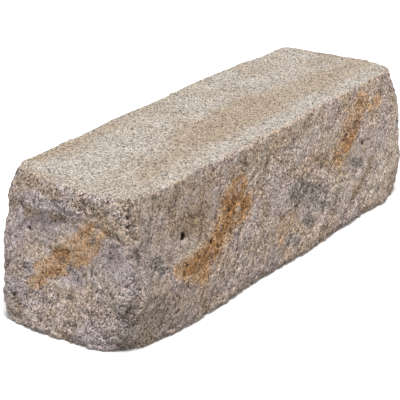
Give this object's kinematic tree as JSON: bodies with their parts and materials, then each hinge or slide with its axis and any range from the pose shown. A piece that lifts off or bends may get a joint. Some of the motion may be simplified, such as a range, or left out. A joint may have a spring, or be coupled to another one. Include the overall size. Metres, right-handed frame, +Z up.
{
  "type": "concrete walling block",
  "caption": "Long tumbled concrete walling block with two flat bed faces, rough split sides and worn arrises, laid in courses to build a garden wall.",
  "frame": {"origin": "middle of the lower bed face", "axes": "+X along the block from the left end to the right end, +Y from the front face to the back face, +Z up to the upper bed face"},
  "size_m": [0.418, 0.1344, 0.12],
  "materials": {
    "concrete": "matt sandy concrete, beige grey with ochre clouds"
  },
  "bodies": {
    "root": {"walling_block": "concrete"}
  },
  "joints": []
}
